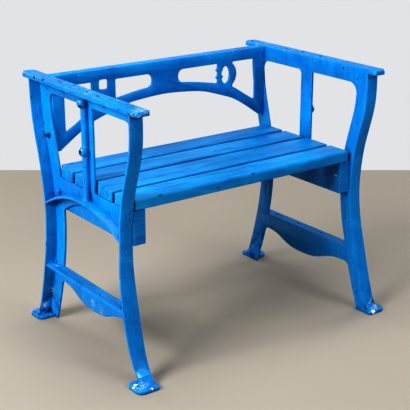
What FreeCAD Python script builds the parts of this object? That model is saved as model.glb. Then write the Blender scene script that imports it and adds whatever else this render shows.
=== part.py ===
import FreeCAD, Part
import os
from FreeCAD import Vector

os.makedirs("parts", exist_ok=True)

# A two-seat garden bench: two cast-iron end frames, a fretted cast-iron back
# panel bolted between them, and four timber planks on two bolted battens.
# X runs along the bench, the front faces -Y, and Z is up from the floor.

# Overall sizes
overall_height = 680.0
clear_width = 696.4
seat_height = 451.0
waist_height = 330.0

# Reach of the end frame's front and rear edges from the middle of its depth,
# and of the left casting's own front leg, which splays less than the right one
front_top_reach = 231.0
front_waist_reach = 187.0
front_foot_reach = 274.0
rear_top_reach = 249.0
rear_waist_reach = 195.0
rear_foot_reach = 262.0
left_front_waist_reach = 177.0
left_front_foot_reach = 266.0

# End frame: plate, flanges and cap
web = 6.4
flange_reach = 35.5
flange_root = 8.5
flange_tip = 5.5
cap_width = 38.0
cap_thickness = 12.5
cap_front_reach = 261.2
cap_rear_reach = 286.5
cap_outer_corner = 14.0
cap_rear_corner = 12.0
cap_inner_corner = 3.0
front_strip = 40.0
rear_strip = 50.5
rear_leg_strip = 50.0

# End frame: arm windows
top_bar = 31.0
middle_strip_front = 16.5
middle_strip_rear = 29.0
window_front_corner = 28.0
window_rear_corner = 22.0
window_middle_corner = 13.0
window_sharp_corner = 4.0

# End frame: beaded rib on the middle strip
bead_rib_y = 7.5
bead_rib_radius = 8.2
bead_rib_stand = 8.0
bead_stand = 13.0
bead_radius = 10.8
bead_height = 18.0
bead_waist_height = 9.0
bead_sides = 16
bead_drops = (21.5, 142.0)
rib_flare_radius = 14.0
rib_flare_height = 36.0

# End frame: apron arch and the rib over it
apron_depth = 42.0
arch_radius = 255.0
arch_corner = 14.0
arch_rib_drop = 20.0
arch_rib_radius = 356.0
arch_rib_thickness = 6.0
arch_rib_y = 8.0

# End frame: stretcher
stretcher_height = 170.0
stretcher_reach = 34.5
stretcher_flange = 6.5
stretcher_end_depth = 43.0
belly_drop = 31.0
belly_corner = 19.0

# End frame: feet
foot_length = 59.0
rear_foot_length = 53.0
foot_front_reach = 285.6
foot_rear_reach = 285.6
foot_depth = 61.0
foot_thickness = 9.0
foot_corner = 17.0
foot_inner_corner = 6.0
toe_flare = 10.0
heel_flare = 4.0
toe_flare_height = 15.0
shin_flare = 1.5
left_shin_flare = 9.5
shin_flare_height = 330.0
foot_hole_radius = 4.5
foot_hole_stand = 41.8
foot_hole_reach = 250.0

# Seat planks, from front to rear
plank_thickness = 30.0
plank_widths = (76.2, 96.0, 82.0, 79.5)
plank_gap = 6.0
plank_left_overhang = 1.4
plank_right_gap = 8.0
plank_edge = 2.5
plank_nose = 8.0
seat_front_inset = 3.8
notch_end_gap = 4.0
notch_side_gap = 1.0
notch_middle_gap = 15.0
notch_rear_gap = 8.0

# Battens under the planks
batten_thickness = 35.5
batten_depth = 88.0
batten_front_reach = 180.5
batten_rear_reach = 183.0
batten_edge = 1.5

# Fasteners
bolt_radius = 4.0
bolt_clearance = 0.5
nut_across_flats = 13.0
nut_height = 6.5
thread_stand = 3.0
dome_radius = 7.0
dome_height = 4.0
hex_head_height = 5.3
batten_bolt_reach = 162.0
batten_bolt_drop = 40.0
screw_head_radius = 4.2
screw_head_depth = 3.4
screw_radius = 2.0
screw_length = 52.0
screw_clearance = 0.25
fastener_sides = 8
screw_edge_inset = 20.0
screw_end_inset = 17.0

# Back panel
panel_face_reach = 191.0
panel_thickness = 6.5
panel_return = 24.0
panel_return_thickness = 6.0
panel_top_drop = 2.5
panel_arch_drop = 95.0
panel_top_bar = 34.0
panel_fret_drop = 68.5
slot_inner_reach = 43.0
slot_outer_reach = 159.0
slot_inner_corner = 17.0
slot_outer_corner = 4.0
side_window_inner_reach = 232.0
side_window_outer_reach = 313.0
side_window_corner = 5.0
square_hole_centre = 196.0
square_hole_size = 26.5
square_hole_corner = 6.5
square_hole_drop = 43.5
baluster_reach = 179.0
baluster_bead = 5.0
baluster_bead_drops = (52.0, 73.0)
oval_centre = 207.0
oval_half_width = 14.5
oval_half_height = 25.0
oval_drop = 69.0
bow_radius = 39.0
panel_bolt_setback = 14.0
panel_screw_head_radius = 7.5
panel_screw_head_depth = 3.8

# One length that every cutting tool runs past the face that it cuts
overrun = 5.0

# Outline of the end frame, as shares of the height above or below the waist
# and of the change in reach from the waist to the top or to the foot
front_upper_shares = ((0.22, 0.07), (0.38, 0.26), (0.56, 0.62), (0.76, 0.97), (0.88, 1.02), (1.0, 1.0))
rear_upper_shares = ((0.2, 0.13), (0.42, 0.42), (0.63, 0.77), (0.82, 0.945), (1.0, 1.0))
front_lower_shares = ((0.2, 0.08), (0.42, 0.275), (0.68, 0.555), (0.88, 0.81), (1.0, 1.0))
rear_lower_shares = ((0.24, 0.045), (0.5, 0.26), (0.745, 0.58), (1.0, 1.0))
left_front_lower_shares = ((0.15, 0.02), (0.35, 0.14), (0.6, 0.35), (0.8, 0.545), (0.93, 0.79), (1.0, 1.0))

# Outer rim of a leg's flange, as shares of its flare and of the flare's height
shin_flare_shares = ((0.0, 0.0), (0.55, 0.18), (1.0, 0.46), (0.55, 0.75), (0.0, 1.0))

# Heights of the panel's feet and of its two fixings, as shares of the rise
# from the waist to the underside of the cap
panel_foot_share = 0.4385
panel_bolt_share = 0.572
panel_screw_share = 0.933

# Lower edge of the stretcher, as shares of the half span and of the belly drop
belly_shares = ((-1.3, -0.03), (-0.82, -0.03), (-0.67, 0.06), (-0.49, 0.36), (-0.25, 0.84), (0.0, 1.0),
                (0.20, 0.99), (0.36, 0.87), (0.53, 0.56), (0.69, 0.19), (0.82, 0.05), (1.3, 0.05))

# Profile of the flare on a foot, as shares of its height and of its spread
toe_flare_shares = ((0.0, 1.0), (0.35, 0.35), (1.0, 0.0))

# Half outlines of the panel's arch and of the frets over it, as shares of the
# half width and of the height from the panel's feet to the crown
panel_arch_shares = ((0.0, 0.0), (0.24, 0.047), (0.36, 0.10), (0.55, 0.285), (0.66, 0.41), (0.79, 0.645),
                     (0.93, 0.955), (0.95, 1.0))
fret_arch_shares = ((0.0, 0.0), (0.18, 0.022), (0.45, 0.13), (0.68, 0.30), (0.78, 0.46), (0.88, 0.62),
                    (1.0, 0.83))

half_clear = clear_width / 2
cap_under = overall_height - cap_thickness
plank_bottom = seat_height - plank_thickness
bar_bottom = cap_under - top_bar
arch_crown = plank_bottom - apron_depth
panel_top = overall_height - panel_top_drop
upper_rise = cap_under - waist_height
panel_foot = waist_height + upper_rise * panel_foot_share
panel_bolt_height = waist_height + upper_rise * panel_bolt_share
panel_screw_height = waist_height + upper_rise * panel_screw_share
panel_fixing_y = panel_face_reach + panel_bolt_setback
batten_bottom = plank_bottom - batten_depth
batten_bolt_height = plank_bottom - batten_bolt_drop
panel_rear = panel_face_reach + panel_thickness + panel_return
full_depth = foot_front_reach + foot_rear_reach


def reach_pairs(waist, top, foot, upper_shares, lower_shares):
    """Height and reach of an edge's points, from the floor up to the cap."""
    pairs = []
    for height_share, reach_share in reversed(lower_shares):
        pairs.append((waist_height * (1 - height_share), waist + (foot - waist) * reach_share))
    pairs.append((waist_height, waist))
    for height_share, reach_share in upper_shares:
        pairs.append((waist_height + upper_rise * height_share, waist + (top - waist) * reach_share))
    return pairs


rear_pairs = reach_pairs(
    rear_waist_reach, rear_top_reach, rear_foot_reach, rear_upper_shares, rear_lower_shares,
)
right_front_pairs = reach_pairs(
    front_waist_reach, front_top_reach, front_foot_reach, front_upper_shares, front_lower_shares,
)
left_front_pairs = reach_pairs(
    left_front_waist_reach, front_top_reach, left_front_foot_reach, front_upper_shares,
    left_front_lower_shares,
)


def reach_at(pairs, height):
    """Reach of an edge at one height, between its two nearest points."""
    for (low, low_reach), (high, high_reach) in zip(pairs, pairs[1:]):
        if low <= height <= high:
            return low_reach + (high_reach - low_reach) * (height - low) / (high - low)
    return pairs[-1][1]


def smooth_edge(points):
    curve = Part.BSplineCurve()
    curve.interpolate(points)
    return curve.toShape()


def line(start, end):
    return Part.makeLine(start, end)


def side_curve(x, toward, pairs, inset):
    """A front (-1) or rear (+1) edge of the frame at one X, moved inward."""
    return smooth_edge([Vector(x, toward * (reach - inset), height) for height, reach in pairs])


def between(first, second):
    """Closed outline of two upright curves, joined at their ends."""
    low_first, high_first = first.Vertexes[0].Point, first.Vertexes[-1].Point
    low_second, high_second = second.Vertexes[0].Point, second.Vertexes[-1].Point
    return [first, line(high_first, high_second), second, line(low_second, low_first)]


def prism(outline, along):
    """Solid between a flat outline and its copy, with ruled curved sides."""
    copies = [edge.translated(along) for edge in outline]
    faces = [Part.Face(Part.Wire(outline)), Part.Face(Part.Wire(copies))]
    for edge, copy in zip(outline, copies):
        curved = isinstance(edge.Curve, Part.BSplineCurve)
        faces.append(Part.makeRuledSurface(edge, copy) if curved else edge.extrude(along))
    return Part.makeSolid(Part.makeShell(faces))


def frame_region(front, front_inset, rear_inset, start, depth):
    """Prism of the frame's side outline, drawn in from its edges."""
    front_edge = side_curve(start, -1, front, front_inset)
    rear_edge = side_curve(start, 1, rear_pairs, rear_inset)
    return prism(between(front_edge, rear_edge), Vector(depth, 0, 0))


def within_flanges(front, depth):
    """Prism from flange to flange that ends inside both of them."""
    return frame_region(front, flange_tip, flange_tip, 0, depth)


def block(x_low, x_high, y_low, y_high, z_low, z_high):
    return Part.makeBox(x_high - x_low, y_high - y_low, z_high - z_low, Vector(x_low, y_low, z_low))


def round_corner(solid, axis, first_sign, second_sign, radius):
    """Round the edge along one axis that lies furthest toward a corner."""
    others = [other for other in (Vector(1, 0, 0), Vector(0, 1, 0), Vector(0, 0, 1)) if other.dot(axis) == 0]
    direction = others[0] * first_sign + others[1] * second_sign

    def along(edge):
        tangent = edge.tangentAt(edge.FirstParameter)
        return len(edge.Vertexes) == 2 and round(abs(tangent.dot(axis)), 3) == 1

    candidates = [edge for edge in solid.Edges if along(edge)]
    return solid.makeFillet(radius, [max(candidates, key=lambda edge: edge.CenterOfMass.dot(direction))])


X_AXIS = Vector(1, 0, 0)
Y_AXIS = Vector(0, 1, 0)
Z_AXIS = Vector(0, 0, 1)


def faceted(centre, axis, rings, sides):
    """Flat-sided solid along an axis, from rings of a distance and a radius each."""
    start = Vector(axis.y, axis.z, axis.x)
    arms = [FreeCAD.Rotation(axis, 360 * index / sides).multVec(start) for index in range(sides)]
    loops = [[centre + axis * distance + arm * radius for arm in arms] for distance, radius in rings]
    faces = [Part.Face(Part.makePolygon(loop + loop[:1])) for loop in (loops[0], loops[-1])]
    for low, high in zip(loops, loops[1:]):
        for index in range(sides):
            corners = [low[index - 1], low[index], high[index], high[index - 1]]
            faces.append(Part.Face(Part.makePolygon(corners + corners[:1])))
    return Part.makeSolid(Part.makeShell(faces))


def arm_windows(front_pairs):
    """Cutters for the two windows between the seat and the arm."""
    inside = frame_region(front_pairs, front_strip, rear_strip, -overrun, web + 2 * overrun)
    x_far = web + overrun
    front = inside.common(block(-overrun, x_far, -full_depth, -middle_strip_front, plank_bottom, bar_bottom))
    front = round_corner(front, X_AXIS, -1, 1, window_front_corner)
    front = round_corner(front, X_AXIS, 1, 1, window_sharp_corner)
    rear = inside.common(block(-overrun, x_far, middle_strip_rear, full_depth, plank_bottom, bar_bottom))
    rear = round_corner(rear, X_AXIS, 1, 1, window_rear_corner)
    rear = round_corner(rear, X_AXIS, -1, 1, window_middle_corner)
    return [front, rear]


def arch_opening(front_pairs):
    """Cutter under the seat: an arch that stands on the stretcher."""
    inside = frame_region(front_pairs, front_strip, rear_leg_strip, -overrun, web + 2 * overrun)
    centre = Vector(-overrun, 0, arch_crown - arch_radius)
    disc = Part.makeCylinder(arch_radius, web + 2 * overrun, centre, X_AXIS)
    room = block(-overrun, web + overrun, -full_depth, full_depth, stretcher_height, overall_height)
    opening = inside.common(disc).common(room)
    for toward in (-1, 1):
        opening = round_corner(opening, X_AXIS, toward, 1, arch_corner)
    return opening


def foot_opening(front_pairs):
    """Cutter between the legs, under the bellied lower edge of the stretcher."""
    ends_height = stretcher_height - stretcher_end_depth
    front_leg = reach_at(front_pairs, ends_height) - front_strip
    rear_leg = reach_at(rear_pairs, ends_height) - rear_leg_strip
    middle = (rear_leg - front_leg) / 2
    half_span = (rear_leg + front_leg) / 2
    points = [
        Vector(-overrun, middle + half_span * span_share, ends_height - belly_drop * drop_share)
        for span_share, drop_share in belly_shares
    ]
    low_start = Vector(-overrun, points[0].y, -overrun)
    low_end = Vector(-overrun, points[-1].y, -overrun)
    sides = [line(points[-1], low_end), line(low_end, low_start), line(low_start, points[0])]
    depth = web + 2 * overrun
    under = prism([smooth_edge(points)] + sides, Vector(depth, 0, 0))
    opening = under.common(frame_region(front_pairs, front_strip, rear_leg_strip, -overrun, depth))
    for toward in (-1, 1):
        opening = round_corner(opening, X_AXIS, toward, 1, belly_corner)
    return opening


def edge_flange(toward, pairs, flare):
    """Tapered flange along the front or rear edge, wider down the shin."""
    foot_reach = flange_reach + flare
    root = between(side_curve(0, toward, pairs, 0), side_curve(0, toward, pairs, flange_root))
    tip = between(side_curve(foot_reach, toward, pairs, 0), side_curve(foot_reach, toward, pairs, flange_tip))
    strip = Part.makeLoft([Part.Wire(root), Part.Wire(tip)], True, True)
    rim = smooth_edge([
        Vector(flange_reach + flare * flare_share, -full_depth, shin_flare_height * height_share)
        for flare_share, height_share in shin_flare_shares
    ])
    top = Vector(flange_reach, -full_depth, overall_height)
    high_inner = Vector(0, -full_depth, overall_height)
    low_inner = Vector(0, -full_depth, 0)
    start, end = rim.Vertexes[0].Point, rim.Vertexes[-1].Point
    outline = [rim, line(end, top), line(top, high_inner)]
    outline += [line(high_inner, low_inner), line(low_inner, start)]
    return strip.common(prism(outline, Vector(0, 2 * full_depth, 0)))


def arm_cap():
    cap = block(0, cap_width, -cap_front_reach, cap_rear_reach, cap_under, overall_height)
    for toward in (-1, 1):
        cap = round_corner(cap, Z_AXIS, 1, toward, cap_outer_corner)
    cap = round_corner(cap, Z_AXIS, -1, 1, cap_rear_corner)
    return round_corner(cap, Z_AXIS, -1, -1, cap_inner_corner)


def beaded_rib():
    """Round-nosed rib with two beads, flared where it lands on the arch rib."""
    axis_x = web + bead_rib_stand
    base = plank_bottom - arch_rib_drop - arch_rib_thickness
    height = cap_under - base
    turned_rings = ((0, rib_flare_radius), (rib_flare_height, bead_rib_radius), (height, bead_rib_radius))
    nose = faceted(Vector(axis_x, bead_rib_y, base), Z_AXIS, turned_rings, bead_sides)
    neck = block(0, axis_x, bead_rib_y - bead_rib_radius, bead_rib_y + bead_rib_radius, base, cap_under)
    rings = ((-bead_height / 2, bead_rib_radius), (-bead_waist_height / 2, bead_radius),
             (bead_waist_height / 2, bead_radius), (bead_height / 2, bead_rib_radius))
    beads = [
        faceted(Vector(web + bead_stand, bead_rib_y, cap_under - drop), Z_AXIS, rings, bead_sides)
        for drop in bead_drops
    ]
    return [nose, neck] + beads


def arch_rib(front_pairs):
    """Rib over the apron arch, as deep as the flanges that it runs into."""
    centre = Vector(0, arch_rib_y, plank_bottom - arch_rib_drop - arch_rib_radius)
    outer = Part.makeCylinder(arch_rib_radius, flange_reach, centre, X_AXIS)
    inner = Part.makeCylinder(arch_rib_radius - arch_rib_thickness, flange_reach, centre, X_AXIS)
    room = block(0, flange_reach, -full_depth, full_depth, stretcher_height, plank_bottom)
    return outer.cut(inner).common(room).common(within_flanges(front_pairs, flange_reach))


def stretcher_plate(front_pairs):
    low = stretcher_height - stretcher_flange
    plate = block(0, stretcher_reach, -full_depth, full_depth, low, stretcher_height)
    return plate.common(within_flanges(front_pairs, stretcher_reach))


def foot(toward, outer_reach, length, pairs):
    """Rounded foot pad with the flare that the leg's flange lands on it with."""
    near, far = sorted((toward * outer_reach, toward * (outer_reach - foot_depth)))
    pad = block(0, length, near, far, 0, foot_thickness)
    for end in (-1, 1):
        pad = round_corner(pad, Z_AXIS, 1, end, foot_corner)
        pad = round_corner(pad, Z_AXIS, -1, end, foot_inner_corner)
    sections = []
    for level_share, spread_share in toe_flare_shares:
        height = foot_thickness + toe_flare_height * level_share
        ankle = reach_at(pairs, height)
        toe = toward * (ankle + toe_flare * spread_share)
        heel = toward * (ankle - flange_root - heel_flare * spread_share)
        side = flange_reach + heel_flare * spread_share
        corners = ((0, toe), (side, toe), (side, heel), (0, heel), (0, toe))
        sections.append(Part.makePolygon([Vector(x, y, height) for x, y in corners]))
    return [pad, Part.makeLoft(sections, True, False)]


def shank(start, direction, length, radius):
    """Eight-sided rod of a small fastener, or the room for one."""
    return faceted(start, direction, ((0, radius), (length, radius)), fastener_sides)


def panel_screw_head():
    """Countersunk head at the right end, flush with the outer face of the web."""
    start = Vector(web - panel_screw_head_depth, panel_fixing_y, panel_screw_height)
    rings = ((0, bolt_radius), (panel_screw_head_depth, panel_screw_head_radius))
    return faceted(start, X_AXIS, rings, fastener_sides)


def foot_holes():
    """Drills for the floor bolts, down through the feet."""
    depth = foot_thickness + toe_flare_height + overrun
    places = [Vector(foot_hole_stand, toward * foot_hole_reach, -overrun) for toward in (-1, 1)]
    return [Part.makeCylinder(foot_hole_radius, depth + overrun, place) for place in places]


def web_holes():
    """Rooms of the bolts and screws through the web."""
    places = [(toward * batten_bolt_reach, batten_bolt_height) for toward in (-1, 1)]
    places += [(panel_fixing_y, panel_bolt_height), (panel_fixing_y, panel_screw_height)]
    radius = bolt_radius + bolt_clearance
    rooms = [shank(Vector(-overrun, y, z), X_AXIS, web + 2 * overrun, radius) for y, z in places]
    return rooms + [panel_screw_head()]


def end_frame(front_pairs, front_flare):
    """One casting, with the inner face of its web on X = 0 and its ribs at +X."""
    plate = within_flanges(front_pairs, web)
    plate = plate.cut(arm_windows(front_pairs) + [arch_opening(front_pairs), foot_opening(front_pairs)])
    casting = plate.cut(web_holes()).fuse(arm_cap())
    pieces = [edge_flange(-1, front_pairs, front_flare), edge_flange(1, rear_pairs, shin_flare)]
    pieces += [arch_rib(front_pairs), stretcher_plate(front_pairs)] + beaded_rib()
    pieces += foot(-1, foot_front_reach, foot_length, front_pairs)
    pieces += foot(1, foot_rear_reach, rear_foot_length, rear_pairs)
    for piece in pieces:
        casting = casting.fuse(piece)
    return casting.cut(foot_holes()).removeSplitter()


def on_side(shape, side):
    """Place a shape made at the right end, or its mirror image at the left."""
    placed = shape.copy()
    placed.translate(Vector(half_clear, 0, 0))
    if side < 0:
        placed = placed.mirror(Vector(0, 0, 0), X_AXIS)
    return placed


def plank_spans():
    """Front and rear edge of each plank."""
    spans = []
    start = -(front_waist_reach - seat_front_inset)
    for width in plank_widths:
        spans.append((start, start + width))
        start += width + plank_gap
    return spans


def screw_places():
    """X and Y of each plank screw: two at each end of each plank, over a batten."""
    right_x = half_clear - plank_right_gap - screw_end_inset
    left_x = -(half_clear - screw_end_inset)
    places = []
    for start, end in plank_spans():
        for y in (start + screw_edge_inset, end - screw_edge_inset):
            places += [(left_x, y), (right_x, y)]
    return places


def screw_head(x, y):
    rings = ((-screw_head_depth, screw_radius), (0, screw_head_radius))
    return faceted(Vector(x, y, seat_height), Z_AXIS, rings, fastener_sides)


def screw(x, y):
    """Countersunk wood screw, flush with the plank's top."""
    start = Vector(x, y, seat_height - screw_length)
    rod = shank(start, Z_AXIS, screw_length - screw_head_depth, screw_radius)
    return screw_head(x, y).fuse(rod).removeSplitter()


def screw_room(x, y):
    """Countersink, clearance and pilot hole of one screw."""
    depth = screw_length + screw_clearance
    start = Vector(x, y, seat_height - depth)
    room = shank(start, Z_AXIS, depth - screw_head_depth, screw_radius + screw_clearance)
    return screw_head(x, y).fuse(room)


def upright_keep_outs():
    """Room that the planks leave for the uprights of the left end frame."""
    inner = -(half_clear - notch_end_gap)
    outer = -(half_clear + web + plank_left_overhang + overrun)
    front_edge = -(reach_at(left_front_pairs, plank_bottom) - front_strip) + notch_side_gap
    rear_edge = reach_at(rear_pairs, plank_bottom) - rear_strip - notch_rear_gap
    middle_front = -(middle_strip_front + notch_middle_gap)
    middle_rear = middle_strip_rear + notch_side_gap
    low = plank_bottom - overrun
    high = seat_height + overrun
    spans = ((-full_depth, front_edge), (middle_front, middle_rear), (rear_edge, full_depth))
    return [block(outer, inner, y_low, y_high, low, high) for y_low, y_high in spans]


def plank(index):
    start, end = plank_spans()[index]
    left_end = -(half_clear + web + plank_left_overhang)
    right_end = half_clear - plank_right_gap
    board = block(left_end, right_end, start, end, plank_bottom, seat_height)
    for front_sign in (-1, 1):
        for top_sign in (-1, 1):
            is_nose = index == 0 and front_sign < 0 < top_sign
            radius = plank_nose if is_nose else plank_edge
            board = round_corner(board, X_AXIS, front_sign, top_sign, radius)
    board = board.cut(upright_keep_outs())
    holes = [screw_room(x, y) for x, y in screw_places() if start < y < end]
    return board.cut(holes)


def batten(side):
    """Batten at one end, made with its outer face on X = 0."""
    bar = block(-batten_thickness, 0, -batten_front_reach, batten_rear_reach, batten_bottom, plank_bottom)
    for x_sign in (-1, 1):
        for z_sign in (-1, 1):
            bar = round_corner(bar, Y_AXIS, x_sign, z_sign, batten_edge)
    tools = []
    for toward in (-1, 1):
        centre = Vector(-batten_thickness - overrun, toward * batten_bolt_reach, batten_bolt_height)
        tools.append(shank(centre, X_AXIS, batten_thickness + 2 * overrun, bolt_radius + bolt_clearance))
    tools += [screw_room(abs(x) - half_clear, y) for x, y in screw_places() if x * side > 0]
    return on_side(bar.cut(tools), side)


def hexagon(height, centre):
    """Hexagonal nut blank or bolt head along X."""
    corner_radius = nut_across_flats / 3 ** 0.5
    return faceted(centre, X_AXIS, ((0, corner_radius), (height, corner_radius)), 6)


def nut(centre):
    bore = shank(centre - X_AXIS * overrun, X_AXIS, nut_height + 2 * overrun, bolt_radius)
    return hexagon(nut_height, centre).cut(bore)


def carriage_bolt(y, z):
    """Domed bolt through the batten and the web, with X = 0 on the web's inner face."""
    face = -batten_thickness
    ball_radius = (dome_radius ** 2 + dome_height ** 2) / (2 * dome_height)
    ball = Part.makeSphere(ball_radius, Vector(face - dome_height + ball_radius, y, z))
    dome = ball.common(Part.makeCylinder(dome_radius, dome_height, Vector(face - dome_height, y, z), X_AXIS))
    length = batten_thickness + web + nut_height + thread_stand
    return dome.fuse(shank(Vector(face, y, z), X_AXIS, length, bolt_radius)).removeSplitter()


def panel_bolt():
    """Hexagon bolt through the panel's return and the web."""
    start = Vector(-panel_return_thickness, panel_fixing_y, panel_bolt_height)
    length = panel_return_thickness + web + nut_height + thread_stand
    head = hexagon(hex_head_height, start - X_AXIS * hex_head_height)
    return head.fuse(shank(start, X_AXIS, length, bolt_radius)).removeSplitter()


def panel_screw():
    """Machine screw through the web and the panel's return, its head outside."""
    length = panel_return_thickness + nut_height + thread_stand + web - panel_screw_head_depth
    start = Vector(web - panel_screw_head_depth - length, panel_fixing_y, panel_screw_height)
    return panel_screw_head().fuse(shank(start, X_AXIS, length, bolt_radius)).removeSplitter()


def panel_curve(y, half_shares, crown, foot_level, side):
    """Half of an arch of the panel, from the crown to one side."""
    return [
        Vector(side * half_clear * width_share, y, crown - (crown - foot_level) * drop_share)
        for width_share, drop_share in half_shares
    ]


def panel_arch(y, half_shares, crown):
    left = panel_curve(y, half_shares, crown, panel_foot, -1)
    right = panel_curve(y, half_shares, crown, panel_foot, 1)
    return left[:0:-1] + right


def fret_room(x_low, x_high):
    """Cutter between the top bar and the fret arch, from one X to another."""
    y = panel_face_reach - overrun
    depth = panel_thickness + 2 * overrun
    points = panel_arch(y, fret_arch_shares, overall_height - panel_fret_drop)
    top = overall_height - panel_top_bar
    start = Vector(points[0].x, y, top)
    end = Vector(points[-1].x, y, top)
    outline = [smooth_edge(points), line(points[-1], end), line(end, start), line(start, points[0])]
    band = prism(outline, Vector(0, depth, 0))
    return band.common(block(x_low, x_high, y, y + depth, panel_foot, top))


def panel_pin(x, z, radius):
    start = Vector(x, panel_face_reach - overrun, z)
    return Part.makeCylinder(radius, panel_thickness + 2 * overrun, start, Y_AXIS)


def panel_slot(x_low, x_high, inner_sign, top_radius, end_radius):
    """A slot with a full round end toward the middle of the panel."""
    slot = fret_room(x_low, x_high)
    for top_sign in (-1, 1):
        slot = round_corner(slot, Y_AXIS, inner_sign, top_sign, end_radius)
        slot = round_corner(slot, Y_AXIS, -inner_sign, top_sign, top_radius)
    return slot


def panel_openings():
    left_slot = panel_slot(-slot_outer_reach, -slot_inner_reach, 1, slot_outer_corner, slot_inner_corner)
    right_slot = panel_slot(slot_inner_reach, baluster_reach, -1, slot_outer_corner, slot_inner_corner)
    left_window = fret_room(-side_window_outer_reach, -side_window_inner_reach)
    right_window = fret_room(side_window_inner_reach, side_window_outer_reach)
    for sign in (-1, 1):
        left_window = round_corner(left_window, Y_AXIS, -1, sign, side_window_corner)
        right_window = round_corner(right_window, Y_AXIS, 1, sign, side_window_corner)
    right_window = right_window.cut(panel_pin(oval_centre, overall_height - oval_drop, bow_radius))

    middle = overall_height - square_hole_drop
    half = square_hole_size / 2
    y = panel_face_reach - overrun
    depth = panel_thickness + 2 * overrun
    x = -square_hole_centre
    square = block(x - half, x + half, y, y + depth, middle - half, middle + half)
    for x_sign in (-1, 1):
        for z_sign in (-1, 1):
            square = round_corner(square, Y_AXIS, x_sign, z_sign, square_hole_corner)

    ellipse = Part.Ellipse(Vector(0, 0, 0), oval_half_height, oval_half_width).toShape()
    oval = Part.Face(Part.Wire([ellipse])).extrude(Vector(0, 0, depth))
    oval.rotate(Vector(0, 0, 0), X_AXIS, -90)
    oval.rotate(Vector(0, 0, 0), Y_AXIS, 90)
    oval.translate(Vector(oval_centre, y, overall_height - oval_drop))

    post_middle = (baluster_reach + oval_centre - oval_half_width) / 2
    beads = []
    for drop in baluster_bead_drops:
        height = overall_height - drop
        beads.append(panel_pin(baluster_reach, height, baluster_bead))
        beads.append(panel_pin(2 * post_middle - baluster_reach, height, baluster_bead))
    right_slot = right_slot.cut(beads)
    oval = oval.cut(beads)
    return [left_slot, right_slot, left_window, right_window, square, oval]


def back_panel():
    """Fretted plate with a rearward flange along its top and down both ends."""
    y = panel_face_reach
    arch = panel_arch(y, panel_arch_shares, overall_height - panel_arch_drop)
    low_left = Vector(-half_clear, y, panel_foot)
    low_right = Vector(half_clear, y, panel_foot)
    high_right = Vector(half_clear, y, panel_top)
    high_left = Vector(-half_clear, y, panel_top)
    outline = [
        smooth_edge(arch),
        line(arch[-1], low_right),
        line(low_right, high_right),
        line(high_right, high_left),
        line(high_left, low_left),
        line(low_left, arch[0]),
    ]
    plate = prism(outline, Vector(0, panel_thickness, 0)).cut(panel_openings())
    returns = [block(-half_clear, half_clear, y, panel_rear, panel_top - panel_return_thickness, panel_top)]
    inner = half_clear - panel_return_thickness
    returns.append(block(inner, half_clear, y, panel_rear, panel_foot, panel_top))
    returns.append(block(-half_clear, -inner, y, panel_rear, panel_foot, panel_top))
    holes = []
    for height in (panel_bolt_height, panel_screw_height):
        start = Vector(-half_clear - overrun, panel_fixing_y, height)
        holes.append(shank(start, X_AXIS, clear_width + 2 * overrun, bolt_radius + bolt_clearance))
    return plate.fuse(returns).cut(holes).removeSplitter()


def write(name, shapes):
    """Export one node: a single solid, or a group of like ones."""
    shape = shapes[0] if len(shapes) == 1 else Part.makeCompound(shapes)
    shape.exportStep("parts/" + name + ".step")
    print(name, len(shape.Solids), shape.isValid(), round(shape.Volume))


def both_sides(shapes):
    return [on_side(shape, side) for side in (-1, 1) for shape in shapes]


left_casting = end_frame(left_front_pairs, left_shin_flare)
right_casting = end_frame(right_front_pairs, shin_flare)
write("left_end_frame", [on_side(left_casting, -1)])
write("right_end_frame", [on_side(right_casting, 1)])
write("back_panel", [back_panel()])

for index, name in enumerate(("front_plank", "second_plank", "third_plank", "rear_plank")):
    write(name, [plank(index)])

write("left_batten", [batten(-1)])
write("right_batten", [batten(1)])

batten_places = [(toward * batten_bolt_reach, batten_bolt_height) for toward in (-1, 1)]
write("batten_bolts", both_sides([carriage_bolt(y, z) for y, z in batten_places]))
write("batten_nuts", both_sides([nut(Vector(web, y, z)) for y, z in batten_places]))

screw_nut = nut(Vector(-panel_return_thickness - nut_height, panel_fixing_y, panel_screw_height))
bolt_nut = nut(Vector(web, panel_fixing_y, panel_bolt_height))
write("panel_bolts", both_sides([panel_bolt()]))
write("panel_screws", both_sides([panel_screw()]))
write("panel_nuts", both_sides([bolt_nut, screw_nut]))
write("plank_screws", [screw(x, y) for x, y in screw_places()])
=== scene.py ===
import math

import bmesh
import bpy
from mathutils import Matrix, Vector, noise
from mathutils.bvhtree import BVHTree


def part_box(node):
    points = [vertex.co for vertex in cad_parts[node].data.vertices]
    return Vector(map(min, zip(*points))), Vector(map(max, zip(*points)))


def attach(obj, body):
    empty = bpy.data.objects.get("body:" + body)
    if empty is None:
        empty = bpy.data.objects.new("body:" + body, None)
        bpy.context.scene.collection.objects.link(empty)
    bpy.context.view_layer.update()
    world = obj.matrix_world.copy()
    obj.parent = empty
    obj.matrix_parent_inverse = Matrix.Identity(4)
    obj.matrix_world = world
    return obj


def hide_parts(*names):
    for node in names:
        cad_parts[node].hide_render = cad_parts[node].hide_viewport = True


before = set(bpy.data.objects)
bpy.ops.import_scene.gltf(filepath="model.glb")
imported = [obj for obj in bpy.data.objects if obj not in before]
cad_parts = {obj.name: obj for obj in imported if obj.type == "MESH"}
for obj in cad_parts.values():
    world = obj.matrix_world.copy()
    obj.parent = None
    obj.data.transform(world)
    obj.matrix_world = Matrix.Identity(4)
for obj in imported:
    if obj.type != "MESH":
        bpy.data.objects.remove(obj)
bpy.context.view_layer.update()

# The setting: a plain floor and soft studio light, with a broad window at the left, weaker
# lamps overhead, in front, at the right and behind, and the faint glow of the far wall.
# The camera stands a little below eye level, where the photograph was taken from.
camera_place = (-1.5751, -2.1329, 1.2364)
camera_pitch = 19.154
camera_yaw = 36.328
camera_lens = 91.77
sensor_width = 36.0
floor_size = 30.0
floor_back_distance = 3.984
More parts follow.
